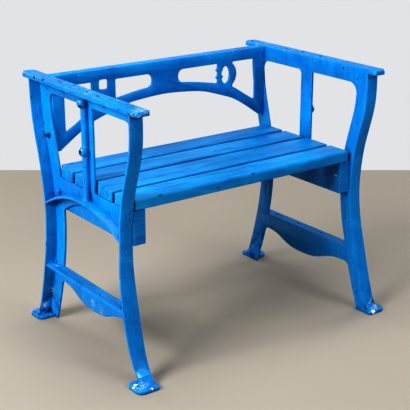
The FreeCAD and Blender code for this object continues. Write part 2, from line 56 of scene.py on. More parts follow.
floor_colour = (0.222, 0.202, 0.172, 1.0)
floor_roughness = 0.75
air_colour = (0.86, 0.88, 0.92, 1.0)
air_strength = 0.07
backdrop_colour = (0.478, 0.483, 0.492, 1.0)
daylight = (1.0, 0.99, 0.97)
cool_white = (0.97, 0.99, 1.0)
plain_white = (1.0, 1.0, 1.0)

scene = bpy.context.scene
scene.view_settings.view_transform = "Standard"
scene.view_settings.look = "Very High Contrast"


def hang_lamp(name, place, target, size, watts, colour):
    """A rectangular area light at a place, turned toward a target."""
    lamp = bpy.data.lights.new(name, "AREA")
    lamp.shape = "RECTANGLE"
    lamp.size, lamp.size_y = size
    lamp.energy = watts
    lamp.color = colour
    holder = bpy.data.objects.new(name, lamp)
    scene.collection.objects.link(holder)
    holder.location = place
    holder.rotation_euler = (Vector(target) - Vector(place)).to_track_quat("-Z", "Y").to_euler()


def add_piece(name, form):
    """An object at the origin, made from a finished bmesh."""
    mesh = bpy.data.meshes.new(name)
    form.to_mesh(mesh)
    form.free()
    piece = bpy.data.objects.new(name, mesh)
    scene.collection.objects.link(piece)
    return piece


camera = bpy.data.cameras.new("camera")
camera.sensor_width = sensor_width
camera.lens = camera_lens
camera_holder = bpy.data.objects.new("camera", camera)
scene.collection.objects.link(camera_holder)
camera_holder.location = camera_place
camera_holder.rotation_euler = (math.radians(90 - camera_pitch), 0.0, -math.radians(camera_yaw))
scene.camera = camera_holder

air = bpy.data.worlds.new("air")
air.use_nodes = True
air_light = air.node_tree.nodes["Background"]
air_light.inputs["Color"].default_value = air_colour
air_light.inputs["Strength"].default_value = air_strength
backdrop = air.node_tree.nodes.new("ShaderNodeBackground")
backdrop.inputs["Color"].default_value = backdrop_colour
either = air.node_tree.nodes.new("ShaderNodeMixShader")
seen = air.node_tree.nodes.new("ShaderNodeLightPath")
air.node_tree.links.new(seen.outputs["Is Camera Ray"], either.inputs["Fac"])
air.node_tree.links.new(air_light.outputs["Background"], either.inputs[1])
air.node_tree.links.new(backdrop.outputs["Background"], either.inputs[2])
air.node_tree.links.new(either.outputs["Shader"], air.node_tree.nodes["World Output"].inputs["Surface"])
scene.world = air

for lamp_row in (
    ("window", (-3.3, -0.30, 2.15), (0.0, 0.0, 0.4), (1.8, 1.6), 185.0, daylight),
    ("overhead", (0.1, 0.2, 3.4), (0.0, 0.0, 0.3), (2.4, 2.0), 70.0, plain_white),
    ("front_fill", (0.6, -3.3, 2.0), (0.0, 0.0, 0.45), (1.6, 1.2), 52.0, cool_white),
    ("right_fill", (3.6, 0.4, 1.0), (0.2, 0.0, 0.4), (1.6, 1.4), 48.0, plain_white),
    ("rear_fill", (-0.4, 4.2, 1.3), (0.0, 0.1, 0.4), (1.8, 1.4), 50.0, plain_white),
    ("wall_glow", (2.7, 3.7, 1.9), (0.0, 0.0, 0.5), (3.6, 1.6), 8.0, plain_white),
):
    hang_lamp(*lamp_row)

floor_form = bmesh.new()
bmesh.ops.create_grid(floor_form, x_segments=1, y_segments=1, size=floor_size / 2)
ahead = Vector((math.sin(math.radians(camera_yaw)), math.cos(math.radians(camera_yaw)), 0.0))
below_camera = Vector((camera_place[0], camera_place[1], 0.0))
floor_turn = Matrix.Rotation(-math.radians(camera_yaw), 4, "Z")
floor_middle = Matrix.Translation(below_camera + ahead * (floor_back_distance - floor_size / 2))
floor_form.transform(floor_middle @ floor_turn)
floor = add_piece("floor", floor_form)
floor_finish = bpy.data.materials.new("pale_floor")
floor_finish.use_nodes = True
floor_shader = floor_finish.node_tree.nodes["Principled BSDF"]
floor_shader.inputs["Base Color"].default_value = floor_colour
floor_shader.inputs["Roughness"].default_value = floor_roughness
floor.data.materials.append(floor_finish)


# The two end frames are grey-iron castings: arm cap, legs, stretcher and feet in one piece.
# They were brushed with many coats of gloss blue, which rounds every edge, fills the corners
# and has chipped to pale undercoat on the feet and to dark iron along the arm caps.
casting_edge = 0.0014
stray_reach = 0.6 * casting_edge
merge_distance = 0.00001
flat_angle = math.radians(0.6)
corner_angle = math.radians(31)
web_outer_face = 0.3546
arm_height = 0.680
cap_underside = 0.666
cap_underside_fade = 0.003
cap_hole_x = 0.3695
cap_holes = (0.268, 0.111, 0.052, -0.025, -0.080)
cap_hole_radius = 0.0031
cap_hole_span = (arm_height - 0.006, arm_height + 0.003)
stretcher_hole_x = 0.369
stretcher_holes = (0.144, 0.046, -0.054, -0.152)
stretcher_hole_radius = 0.0034
stretcher_hole_span = (0.160, 0.173)
web_hole_radius = 0.0024
web_hole_span = (0.344, 0.3585)
web_holes = {
    -1: ((-0.190, 0.647), (-0.186, 0.528), (-0.160, 0.254), (-0.221, 0.051), (0.171, 0.250), (0.226, 0.051)),
    1: ((-0.1924, 0.647), (-0.1952, 0.528), (-0.171, 0.254), (-0.229, 0.051), (0.171, 0.250), (0.226, 0.051)),
}
upright_streaks = (120.0, 120.0, 9.0)
deep_blue = (0.0002, 0.100, 0.310, 1.0)
plain_blue = (0.0004, 0.162, 0.430, 1.0)
bright_blue = (0.0010, 0.225, 0.530, 1.0)
worn_blue = (0.030, 0.400, 0.740, 1.0)
undercoat_and_highlight = (0.62, 0.70, 0.72, 1.0)
bare_iron_and_shade = (0.020, 0.022, 0.026, 1.0)
# A dark navy for grime, grain and dark marks, also laid as painted shade in corners and gaps.
dirt_and_shade = (0.0010, 0.022, 0.110, 1.0)
paint_sheen = 0.3
end_frame_marks = {
    -1: {
        "pale_chips": (
            (-0.393, -0.247, 0.009, 0.0060), (-0.404, -0.253, 0.008, 0.0035), (-0.3715, -0.282, 0.008, 0.0035),
        ),
        "dark_chips_and_shade": (
            (-0.369, 0.103, 0.680, 0.005), (-0.361, 0.052, 0.680, 0.0045), (-0.368, -0.025, 0.680, 0.005),
            (-0.3706, -0.073, 0.680, 0.0045), (-0.3546, -0.075, 0.654, 0.005), (-0.3546, 0.1215, 0.657, 0.0045),
            (-0.386, 0.21, 0.676, 0.006), (-0.386, 0.165, 0.678, 0.005), (-0.3546, 0.212, 0.517, 0.005),
            # The last two marks in this list sit on the holes in the left beads: painted shade that darkens the holes.
            (-0.370, 0.250, 0.440, 0.005), (-0.379, 0.006, 0.5265, 0.0062), (-0.376, 0.001, 0.640, 0.0050),
        ),
        "flecks_and_highlights": (
            (-0.371, -0.248, 0.680, 0.034), (-0.3546, -0.030, 0.112, 0.024), (-0.3546, 0.014, 0.116, 0.020),
            (-0.3546, 0.226, 0.078, 0.026), (-0.362, 0.178, 0.168, 0.018), (-0.388, -0.262, 0.010, 0.026),
            (-0.384, -0.262, 0.075, 0.022), (-0.375, -0.03, 0.680, 0.020),
        ),
        "flaking": 0.045,
    },
    1: {
        "pale_chips": (
            (0.389, -0.256, 0.013, 0.0105), (0.363, -0.283, 0.007, 0.0065), (0.3445, -0.256, 0.677, 0.0035),
        ),
        "dark_chips_and_shade": (
            (0.367, 0.269, 0.680, 0.005), (0.366, 0.1125, 0.680, 0.004), (0.3747, 0.052, 0.680, 0.0045),
            (0.3706, -0.0243, 0.680, 0.0045), (0.3707, -0.0834, 0.680, 0.004), (0.348, -0.139, 0.668, 0.004),
            (0.352, 0.204, 0.478, 0.004),
        ),
        "flecks_and_highlights": ((0.378, -0.262, 0.009, 0.030),),
        "flaking": 0.0,
    },
}


def put(tree, kind, sockets, **settings):
    """A node with its settings, and its sockets given a value or joined to another node."""
    node = tree.nodes.new("ShaderNode" + kind)
    for name, value in settings.items():
        setattr(node, name, value)
    for name, value in sockets.items():
        if isinstance(value, bpy.types.NodeSocket):
            tree.links.new(value, node.inputs[name])
        else:
            node.inputs[name].default_value = value
    return node


def place_group(tree, group, sockets):
    """The outputs of a shader group that is set into a tree with its own values."""
    return put(tree, "Group", sockets, node_tree=group).outputs


def work_out(tree, operation, first, second, third=0.0):
    """The result of a sum on two values, or on three for MULTIPLY_ADD."""
    return put(tree, "Math", {0: first, 1: second, 2: third}, operation=operation).outputs["Value"]


def add_up(tree, shares):
    """The sum of some values, each multiplied by its share."""
    total = 0.0
    for value, share in shares:
        total = work_out(tree, "MULTIPLY_ADD", value, share, total)
    return total


def stretch(tree, place, factors):
    """A place multiplied along each axis, which draws a pattern out or crowds it."""
    return put(tree, "VectorMath", {0: place, 1: factors}, operation="MULTIPLY").outputs["Vector"]


def ease(tree, value, low, high):
    """A mask that rises smoothly from 0 at one value to 1 at another."""
    sockets = {"Value": value, "From Min": low, "From Max": high}
    return put(tree, "MapRange", sockets, interpolation_type="SMOOTHSTEP").outputs["Result"]


def speckle(tree, place, scale, detail, roughness=0.55):
    """Cloudy noise about 0.5, from broad and soft to fine and gritty."""
    sockets = {"Vector": place, "Scale": scale, "Detail": detail, "Roughness": roughness}
    return put(tree, "TexNoise", sockets).outputs["Fac"]


def lay_over(tree, mask, under, over, strength=1.0):
    """One colour laid over another where the mask is 1, as thickly as its strength says."""
    if strength < 1.0:
        mask = work_out(tree, "MULTIPLY", mask, strength)
    return put(tree, "Mix", {0: mask, 6: under, 7: over}, data_type="RGBA").outputs[2]


def tone_ramp(tree, value, stops):
    """Colours that follow a value, from pairs of a value and its colour."""
    ramp = put(tree, "ValToRGB", {"Fac": value})
    elements = ramp.color_ramp.elements
    elements[0].position, elements[0].color = stops[0]
    elements[1].position, elements[1].color = stops[-1]
    for position, colour in stops[1:-1]:
        elements.new(position).color = colour
    return ramp.outputs["Color"]


def start_group(name, inputs, outputs):
    """An empty shader node group with its sockets and its two end nodes."""
    group = bpy.data.node_groups.new(name, "ShaderNodeTree")
    for label, kind in inputs:
        group.interface.new_socket(label, in_out="INPUT", socket_type="NodeSocket" + kind)
    for label in outputs:
        group.interface.new_socket(label, in_out="OUTPUT", socket_type="NodeSocketFloat")
    return group, group.nodes.new("NodeGroupInput").outputs, group.nodes.new("NodeGroupOutput").inputs


def start_patch(name):
    """A group for a mark round one place, with how far off its middle each point lies."""
    inputs = (("Place", "Vector"), ("Middle", "Vector"), ("Reach", "Float"))
    group, given, made = start_group(name, inputs, ("Mask",))
    away = put(group, "VectorMath", {0: given["Place"], 1: given["Middle"]}, operation="DISTANCE")
    far_off = work_out(group, "DIVIDE", away.outputs["Value"], given["Reach"])
    return group, given["Place"], far_off, made["Mask"]


brushed_gloss, given, made = start_group(
    "brushed_gloss", (("Place", "Vector"), ("Streaks", "Vector"), ("Coarse", "Float")), ("Tone", "Height", "Roughness")
)
clouds = speckle(brushed_gloss, given["Place"], scale=5.0, detail=3.0)
patches = speckle(brushed_gloss, given["Place"], scale=24.0, detail=4.0, roughness=0.6)
drawn_out = stretch(brushed_gloss, given["Place"], given["Streaks"])
bristles = speckle(brushed_gloss, drawn_out, scale=1.0, detail=5.0, roughness=0.62)
peel = speckle(brushed_gloss, given["Place"], scale=230.0, detail=2.0)
tone = add_up(brushed_gloss, ((clouds, 0.45), (patches, 0.30), (bristles, 0.25)))
height = add_up(brushed_gloss, ((bristles, given["Coarse"]), (peel, 0.16), (patches, 0.9)))
dulled = work_out(brushed_gloss, "MULTIPLY_ADD", patches, 0.34, 0.17)
brushed_gloss.links.new(tone, made["Tone"])
brushed_gloss.links.new(height, made["Height"])
brushed_gloss.links.new(dulled, made["Roughness"])

edge_wear_and_corner_shade, given, made = start_group(
    "edge_wear_and_corner_shade", (("Place", "Vector"), ("Reach", "Float"), ("Patchiness", "Float")), ("Edge", "CornerShade")
)
softened = put(edge_wear_and_corner_shade, "Bevel", {"Radius": given["Reach"]}, samples=6).outputs["Normal"]
facing = put(edge_wear_and_corner_shade, "NewGeometry", {}).outputs["Normal"]
alike = put(edge_wear_and_corner_shade, "VectorMath", {0: softened, 1: facing}, operation="DOT_PRODUCT").outputs["Value"]
turned = ease(edge_wear_and_corner_shade, work_out(edge_wear_and_corner_shade, "SUBTRACT", 1.0, alike), low=0.02, high=0.16)
openness = put(edge_wear_and_corner_shade, "AmbientOcclusion", {"Distance": 0.012}, samples=6, only_local=True).outputs["AO"]
in_open = ease(edge_wear_and_corner_shade, openness, low=0.72, high=0.98)
patchy = speckle(edge_wear_and_corner_shade, given["Place"], scale=70.0, detail=5.0, roughness=0.7)
where = ease(edge_wear_and_corner_shade, work_out(edge_wear_and_corner_shade, "ADD", patchy, given["Patchiness"]), low=0.46, high=0.62)
worn = work_out(edge_wear_and_corner_shade, "MULTIPLY", work_out(edge_wear_and_corner_shade, "MULTIPLY", turned, in_open), where)
# The second mask comes from ambient occlusion and marks hollows and corners for painted shade.
shelter = put(edge_wear_and_corner_shade, "AmbientOcclusion", {"Distance": 0.022}, samples=6).outputs["AO"]
edge_wear_and_corner_shade.links.new(worn, made["Edge"])
edge_wear_and_corner_shade.links.new(ease(edge_wear_and_corner_shade, shelter, low=0.76, high=0.24), made["CornerShade"])

ragged_patch, place, far_off, mask = start_patch("ragged_patch")
ragged = speckle(ragged_patch, place, scale=260.0, detail=3.0, roughness=0.6)
outline = work_out(ragged_patch, "MULTIPLY_ADD", ragged, 1.5, far_off)
ragged_patch.links.new(ease(ragged_patch, outline, low=1.78, high=1.62), mask)

speckle_patch, place, far_off, mask = start_patch("speckle_patch")
inside = ease(speckle_patch, far_off, low=1.0, high=0.3)
grit = speckle(speckle_patch, place, scale=330.0, detail=3.0, roughness=0.6)
grains = work_out(speckle_patch, "MULTIPLY_ADD", inside, 0.13, grit)
speckle_patch.links.new(ease(speckle_patch, grains, low=0.70, high=0.73), mask)


def start_finish(name):
    """A new material, with its tree and the place on the piece that its patterns read."""
    material = bpy.data.materials.new(name)
    material.use_nodes = True
    return material, material.node_tree, put(material.node_tree, "TexCoord", {}).outputs["Object"]


def close_finish(tree, colour, roughness, relief, strength, depth):
    """The last links of a paint: its colour, its roughness and its relief."""
    bump = put(tree, "Bump", {"Strength": strength, "Distance": depth, "Height": relief})
    shader = tree.nodes["Principled BSDF"]
    shader.inputs["Specular IOR Level"].default_value = paint_sheen
    tree.links.new(colour, shader.inputs["Base Color"])
    tree.links.new(roughness, shader.inputs["Roughness"])
    tree.links.new(bump.outputs["Normal"], shader.inputs["Normal"])


def iron_paint(name, streaks, pale_chips=(), dark_chips_and_shade=(), flecks_and_highlights=(), flaking=0.0):
    """Thick gloss blue on cast iron, worn on its edges and grimy low down, with painted shade in its corners and
    toward the rear legs.
    """
    material, tree, place = start_finish(name)
    gloss = place_group(tree, brushed_gloss, {"Place": place, "Streaks": streaks, "Coarse": 0.5})
    wear_and_shade = place_group(tree, edge_wear_and_corner_shade, {"Place": place, "Reach": 0.0035, "Patchiness": 0.02})
    colour = tone_ramp(tree, gloss["Tone"], ((0.33, deep_blue), (0.5, plain_blue), (0.68, bright_blue)))

    # Grime darkens the paint low down in mottled patches, laid thicker toward the rear legs as painted shade; every
    # corner gets painted shade.
    spot = put(tree, "SeparateXYZ", {"Vector": place}).outputs
    rearward = ease(tree, spot["Y"], low=0.10, high=0.24)
    grime_and_shade_share = work_out(tree, "MULTIPLY_ADD", rearward, 0.55, 0.25)
    stains = speckle(tree, place, scale=46.0, detail=5.0, roughness=0.68)
    low_down = ease(tree, spot["Z"], low=0.20, high=0.02)
    grubby = work_out(tree, "MULTIPLY", low_down, ease(tree, stains, low=0.44, high=0.62))
    colour = lay_over(tree, work_out(tree, "MULTIPLY", grubby, grime_and_shade_share), colour, dirt_and_shade)
    colour = lay_over(tree, wear_and_shade["CornerShade"], colour, dirt_and_shade, strength=0.55)
    colour = lay_over(tree, wear_and_shade["Edge"], colour, worn_blue, strength=0.62)

    # Hands and rain scuff the arm caps, and flakes come off along their edges.
    on_cap = ease(tree, spot["Z"], low=cap_underside, high=cap_underside + cap_underside_fade)
    scuffs = speckle(tree, place, scale=58.0, detail=6.0, roughness=0.72)
    scuffed = work_out(tree, "MULTIPLY", on_cap, ease(tree, scuffs, low=0.56, high=0.66))
    colour = lay_over(tree, scuffed, colour, worn_blue, strength=0.55)
    flakes = speckle(tree, place, scale=120.0, detail=6.0, roughness=0.75)
    near_edge = work_out(tree, "MULTIPLY_ADD", wear_and_shade["Edge"], 0.09, flakes)
    flaked = work_out(tree, "MULTIPLY", on_cap, ease(tree, near_edge, low=0.630 - flaking, high=0.650 - flaking))
    dashes = speckle(tree, stretch(tree, place, (150.0, 150.0, 60.0)), scale=1.0, detail=3.0, roughness=0.6)
    nicked = ease(tree, dashes, low=0.705 - flaking, high=0.725 - flaking)
    dulled_spots = work_out(tree, "MAXIMUM", flaked, work_out(tree, "MULTIPLY", nicked, 0.8))
    colour = lay_over(tree, dulled_spots, colour, bare_iron_and_shade)

    for patch_list, beneath in ((pale_chips, undercoat_and_highlight), (dark_chips_and_shade, bare_iron_and_shade)):
        for *middle, reach in patch_list:
            patch_mask = place_group(tree, ragged_patch, {"Place": place, "Middle": middle, "Reach": reach})["Mask"]
            colour = lay_over(tree, patch_mask, colour, beneath)
            dulled_spots = work_out(tree, "MAXIMUM", dulled_spots, patch_mask)
    for *middle, reach in flecks_and_highlights:
        speckled = place_group(tree, speckle_patch, {"Place": place, "Middle": middle, "Reach": reach})["Mask"]
        colour = lay_over(tree, speckled, colour, undercoat_and_highlight, strength=0.85)
        dulled_spots = work_out(tree, "MAXIMUM", dulled_spots, speckled)

    rough = work_out(tree, "MULTIPLY_ADD", dulled_spots, 0.4, gloss["Roughness"])
    relief = work_out(tree, "MULTIPLY_ADD", dulled_spots, -0.6, gloss["Height"])
    close_finish(tree, colour, rough, relief, strength=0.5, depth=0.0009)
    return material


def merged_copy(node):
    """A node's mesh as a bmesh, with its loose triangles joined and its flat faces whole."""
    form = bmesh.new()
    form.from_mesh(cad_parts[node].data)
    bmesh.ops.remove_doubles(form, verts=form.verts, dist=merge_distance)
    bmesh.ops.dissolve_limit(form, angle_limit=flat_angle, verts=form.verts, edges=form.edges, delimit={"NORMAL"})
    return form


def add_rod(form, start, end, radius, sides=16):
    """A round rod between two points, added to a bmesh."""
    run = Vector(end) - Vector(start)
    turn = run.to_track_quat("Z", "Y").to_matrix().to_4x4()
    middle = Matrix.Translation((Vector(start) + Vector(end)) / 2)
    bmesh.ops.create_cone(
        form, cap_ends=True, segments=sides, radius1=radius, radius2=radius, depth=run.length, matrix=middle @ turn
    )


def evaluated_mesh(piece):
    """A piece's mesh as its modifiers leave it."""
    return bpy.data.meshes.new_from_object(piece.evaluated_get(bpy.context.evaluated_depsgraph_get()))


def cut_with(piece, cutter, operation="DIFFERENCE"):
    """Cut a piece with another one, which is used up."""
    cut = piece.modifiers.new("cut", "BOOLEAN")
    cut.operation = operation
    cut.solver = "EXACT"
    cut.object = cutter
    shaped = evaluated_mesh(piece)
    piece.modifiers.remove(cut)
    bpy.data.objects.remove(cutter)
    piece.data = shaped


def soften(piece, width, segments=2, angle=corner_angle):
    """Round every sharp edge, and shade the rest smooth."""
    piece.data.polygons.foreach_set("use_smooth", [True] * len(piece.data.polygons))
    rounding = piece.modifiers.new("rounding", "BEVEL")
    rounding.width = width
    rounding.segments = segments
    rounding.limit_method = "ANGLE"
    rounding.angle_limit = angle
    rounding.use_clamp_overlap = False
    rounding.harden_normals = True


def settle(piece, reach):
    """Keep the rounding as mesh, with any corner that it threw wide brought back to the surface."""
    unrounded = bmesh.new()
    unrounded.from_mesh(piece.data)
    surface = BVHTree.FromBMesh(unrounded)
    unrounded.free()
    rounded = evaluated_mesh(piece)
    for corner in rounded.vertices:
        nearest, _, _, away = surface.find_nearest(corner.co)
        if away > reach:
            corner.co = nearest
        corner.co.z = max(corner.co.z, 0.0)
    piece.modifiers.clear()
    piece.data = rounded


for side, node in ((-1, "left_end_frame"), (1, "right_end_frame")):
    casting = add_piece(node.replace("frame", "casting"), merged_copy(node))
    holes = bmesh.new()
    for x, rows, (bottom, top), radius in (
        (side * cap_hole_x, cap_holes, cap_hole_span, cap_hole_radius),
        (side * stretcher_hole_x, stretcher_holes, stretcher_hole_span, stretcher_hole_radius),
    ):
        for y in rows:
            add_rod(holes, (x, y, bottom), (x, y, top), radius)
    for y, z in web_holes[side]:
        start, end = web_hole_span
        add_rod(holes, (side * start, y, z), (side * end, y, z), web_hole_radius)
    cut_with(casting, add_piece("drill", holes))
    soften(casting, casting_edge)
    settle(casting, stray_reach)
    finish = iron_paint(node.replace("frame", "paint"), upright_streaks, **end_frame_marks[side])
    casting.data.materials.clear()
    casting.data.materials.append(finish)
    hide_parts(node)
    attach(casting, "root")


# The back panel is one fretted iron casting, a thin plate with a slotted middle, a turned
# post and an oval, over a wide arch. A flange along its top and down both ends turns to
# the rear, and its ends are bolted to the webs of the end frames.
level_streaks = (9.0, 120.0, 120.0)

back_plate = add_piece("back_plate", merged_copy("back_panel"))
soften(back_plate, casting_edge)
back_plate.data.materials.clear()
back_plate.data.materials.append(iron_paint("back_panel_paint", level_streaks))
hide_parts("back_panel")
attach(back_plate, "root")


# Two beads stand on the round rib of each arm, cast with it: a small ball between two
# shallow necks, with a blind hole in its outer side.
bead_x = 0.3676
bead_y = 0.0075
bead_heights = (0.646, 0.5255)
bead_profile = (
    (0.0, -0.0100), (0.0084, -0.0100), (0.0088, -0.0084), (0.0100, -0.0066), (0.0110, -0.0047),
    (0.0115, -0.0024), (0.0117, 0.0), (0.0115, 0.0024), (0.0110, 0.0047), (0.0100, 0.0066),
    (0.0088, 0.0084), (0.0084, 0.0100), (0.0, 0.0100),
)
bead_edge = 0.0006
bead_corner_angle = math.radians(50)
bead_hole_radius = 0.0040
bead_hole_span = (0.007, 0.014)
bead_hole_aim = (0.97, -0.06, 0.04)


def turn_on_lathe(form, profile, steps=32):
    """A solid of revolution about Z, from its radius and height pairs."""
    points = [form.verts.new((radius, 0.0, height)) for radius, height in profile]
    edges = [form.edges.new(pair) for pair in zip(points, points[1:])]
    bmesh.ops.spin(
        form, geom=points + edges, cent=(0, 0, 0), axis=(0, 0, 1), angle=math.tau, steps=steps, use_merge=True
    )
    bmesh.ops.remove_doubles(form, verts=form.verts, dist=merge_distance)
    bmesh.ops.recalc_face_normals(form, faces=form.faces)


def join_in(form, part, matrix):
    """Add one bmesh to another at a place, and free it."""
    part.transform(matrix)
    held = bpy.data.meshes.new("held")
    part.to_mesh(held)
    part.free()
    form.from_mesh(held)
    bpy.data.meshes.remove(held)


for side, name in ((-1, "left"), (1, "right")):
    beads = bmesh.new()
    holes = bmesh.new()
    aim = Vector((side * bead_hole_aim[0], bead_hole_aim[1], bead_hole_aim[2])).normalized()
    for height in bead_heights:
        bead = bmesh.new()
        turn_on_lathe(bead, bead_profile)
        middle = Vector((side * bead_x, bead_y, height))
        join_in(beads, bead, Matrix.Translation(middle))
        start, end = bead_hole_span
        add_rod(holes, middle + aim * start, middle + aim * end, bead_hole_radius)
    pair = add_piece(name + "_beads", beads)
    cut_with(pair, add_piece("drill", holes))
    soften(pair, bead_edge, angle=bead_corner_angle)
    pair.data.materials.append(bpy.data.materials[name + "_end_paint"])
    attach(pair, "root")


# The seat is four softwood boards, planed and then brushed along their length with the
# same gloss blue. They run through the left end frame, notched round its uprights, and
# rest on the battens. The front board has a rounded nose.
board_edge = 0.0042
board_edge_steps = 3
board_corner_angle = math.radians(40)
board_swell = 0.0007
board_gap = 0.0022
cut_pitch_along = 0.029
cut_pitch_across = 0.016
nose_radius = 0.008
nose_steps = 5
nose_clearance = 0.003
board_notches = {
    "front_plank": (-0.40, -0.143),
    "second_plank": (-0.0315, 0.10),
    "third_plank": (-0.10, 0.030),
    "rear_plank": (0.1485, 0.30),
}
notch_x = -0.3442
notch_length = 0.10
notch_height = 0.1
notch_z = 0.436
wave_scale_across = 9.0
wave_scale_along = 2.2
mark_stretch = 0.45
board_blues = ((0.0002, 0.062, 0.210, 1.0), (0.0004, 0.150, 0.370, 1.0), (0.0010, 0.270, 0.560, 1.0))
board_worn = (0.060, 0.440, 0.700, 1.0)
bare_wood = (0.20, 0.24, 0.26, 1.0)
board_marks = {
    "front_plank": (
        ((0.175, -0.150, 0.451, 0.002),),
        ((0.010, -0.1820, 0.4480, 0.0030), (-0.272, -0.1832, 0.447, 0.0035), (-0.10, -0.1832, 0.432, 0.0025)),
    ),
    "second_plank": (((-0.109, -0.075, 0.451, 0.002),), ((0.14, -0.030, 0.451, 0.0025),)),
    "third_plank": ((), ((0.05, 0.030, 0.451, 0.0025), (-0.20, 0.060, 0.451, 0.002))),
    "rear_plank": (
        (), ((-0.319, 0.158, 0.451, 0.003), (-0.295, 0.153, 0.451, 0.0025), (-0.12, 0.12, 0.451, 0.0025)),
    ),
}


def board_paint(name, shift, blues, pale_marks=(), dark_marks=()):
    """Gloss blue on wood: grain that shows through, brush streaks, thin worn edges, painted shade in the corners and
    painted light toward the left and front.
    """
    material, tree, place = start_finish(name)
    own = put(tree, "Mapping", {"Vector": place, "Location": shift}).outputs["Vector"]
    gloss = place_group(tree, brushed_gloss, {"Place": own, "Streaks": (5.0, 170.0, 170.0), "Coarse": 1.0})
    wear_and_shade = place_group(tree, edge_wear_and_corner_shade, {"Place": own, "Reach": 0.0040, "Patchiness": 0.04})

    # The grain runs along the board and wanders a little.
    bent = put(tree, "TexNoise", {"Vector": own, "Scale": 3.0, "Detail": 2.0}).outputs["Color"]
    drift = stretch(tree, bent, (0.10, 0.10, 0.10))
    wandering = put(tree, "VectorMath", {0: own, 1: drift}, operation="ADD").outputs["Vector"]
    grain = speckle(tree, stretch(tree, wandering, (2.2, 62.0, 62.0)), scale=1.0, detail=6.0, roughness=0.66)

    # Painted light: the paint is made a little brighter toward the left and toward the front.
    spot = put(tree, "SeparateXYZ", {"Vector": place}).outputs
    shades_and_painted_light = add_up(tree, ((gloss["Tone"], 0.6), (grain, 0.4), (spot["X"], -0.05), (spot["Y"], -0.14)))
    colour = tone_ramp(tree, shades_and_painted_light, tuple(zip((0.34, 0.49, 0.66), blues)))

    streaky = speckle(tree, stretch(tree, own, level_streaks), scale=1.0, detail=4.0, roughness=0.6)
    zones = ease(tree, speckle(tree, own, scale=9.0, detail=2.0), low=0.5, high=0.65)
    rubbed = work_out(tree, "MULTIPLY", ease(tree, streaky, low=0.60, high=0.72), zones)
    colour = lay_over(tree, rubbed, colour, board_worn, strength=0.30)
    colour = lay_over(tree, ease(tree, grain, low=0.35, high=0.28), colour, dirt_and_shade, strength=0.5)
    colour = lay_over(tree, wear_and_shade["Edge"], colour, board_worn, strength=0.35)
    # Corners and the gaps between the boards are darkened as painted shade.
    colour = lay_over(tree, wear_and_shade["CornerShade"], colour, dirt_and_shade, strength=0.9)

    drawn_out = stretch(tree, place, (mark_stretch, 1.0, 1.0))
    dulled_spots = rubbed
    for marks, beneath in ((pale_marks, bare_wood), (dark_marks, dirt_and_shade)):
        for x, y, z, reach in marks:
            sockets = {"Place": drawn_out, "Middle": (mark_stretch * x, y, z), "Reach": reach}
            mark = place_group(tree, ragged_patch, sockets)["Mask"]
            colour = lay_over(tree, mark, colour, beneath, strength=0.75)
            dulled_spots = work_out(tree, "MAXIMUM", dulled_spots, mark)

    rough = work_out(tree, "MULTIPLY_ADD", dulled_spots, 0.25, work_out(tree, "ADD", gloss["Roughness"], 0.06))
    relief = work_out(tree, "MULTIPLY_ADD", grain, 1.5, gloss["Height"])
    close_finish(tree, colour, rough, relief, strength=0.55, depth=0.0011)
    return material


def sawn_board(low, high, along, nose=0.0):
    """A planed board between two corners, cut across both ways so that it can be made wavy."""
    form = bmesh.new()
    size = high - low
    bmesh.ops.create_cube(form, size=1.0, matrix=Matrix.Translation((low + high) / 2) @ Matrix.Diagonal((*size, 1.0)))
    if nose:
        front_top = [
            edge for edge in form.edges
            if all(abs(vert.co.y - low.y) < merge_distance and abs(vert.co.z - high.z) < merge_distance
                   for vert in edge.verts)
        ]
        bmesh.ops.bevel(
            form, geom=front_top, affect="EDGES", offset=nose, segments=nose_steps, profile=0.5, material=-1
        )
    for axis, pitch in ((along, cut_pitch_along), (1 - along, cut_pitch_across)):
        normal = Vector((0.0, 0.0, 0.0))
        normal[axis] = 1.0
        cuts = int(size[axis] / pitch)
        for index in range(1, cuts):
            point = low.copy()
            point[axis] = low[axis] + size[axis] * index / cuts
            if axis == 1 and nose and point[axis] < low[axis] + nose + nose_clearance:
                continue
            everything = form.verts[:] + form.edges[:] + form.faces[:]
            bmesh.ops.bisect_plane(form, geom=everything, plane_co=point, plane_no=normal)
    form.normal_update()
    return form


def weather(form, along, seed, swell):
    """Push the skin of a board in by the low waves that planing and years leave."""
    for vert in form.verts:
        spot = vert.co * wave_scale_across
        spot[along] = vert.co[along] * wave_scale_along
        depth = swell * (0.5 + 0.5 * noise.noise(spot + Vector((seed, 0.0, 0.0))))
        vert.co -= vert.normal * depth


for number, (node, (notch_front, notch_rear)) in enumerate(board_notches.items()):
    # No two boards share their waves or their grain.
    seed = 7.0 * number
    shift = (1.7 * number, 0.9 * number, 0.0)
    low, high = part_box(node)
    front_gap = Vector((0.0, 0.0 if node == "front_plank" else board_gap, 0.0))
    rear_gap = Vector((0.0, 0.0 if node == "rear_plank" else board_gap, 0.0))
    form = sawn_board(low + front_gap, high - rear_gap, 0, nose_radius if node == "front_plank" else 0.0)
    weather(form, 0, seed, board_swell)
    board = add_piece(node.replace("plank", "board"), form)
    room = bmesh.new()
    middle = Matrix.Translation((notch_x - notch_length / 2, (notch_front + notch_rear) / 2, notch_z))
    notch_size = Matrix.Diagonal((notch_length, notch_rear - notch_front, notch_height, 1.0))
    bmesh.ops.create_cube(room, size=1.0, matrix=middle @ notch_size)
    cut_with(board, add_piece("notch", room))
    soften(board, board_edge, board_edge_steps, board_corner_angle)
    board.data.materials.clear()
    board.data.materials.append(board_paint(node + "_paint", shift, board_blues, *board_marks[node]))
    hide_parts(node)
    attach(board, "root")


# The battens are dressed softwood on edge, one inside each end frame. The planks are
# screwed down into them, and two bolts hold each one to its web. A dried run of paint
# hangs at the front lower corner of the right one.
bearer_edge = 0.0028
bearer_swell = 0.0006
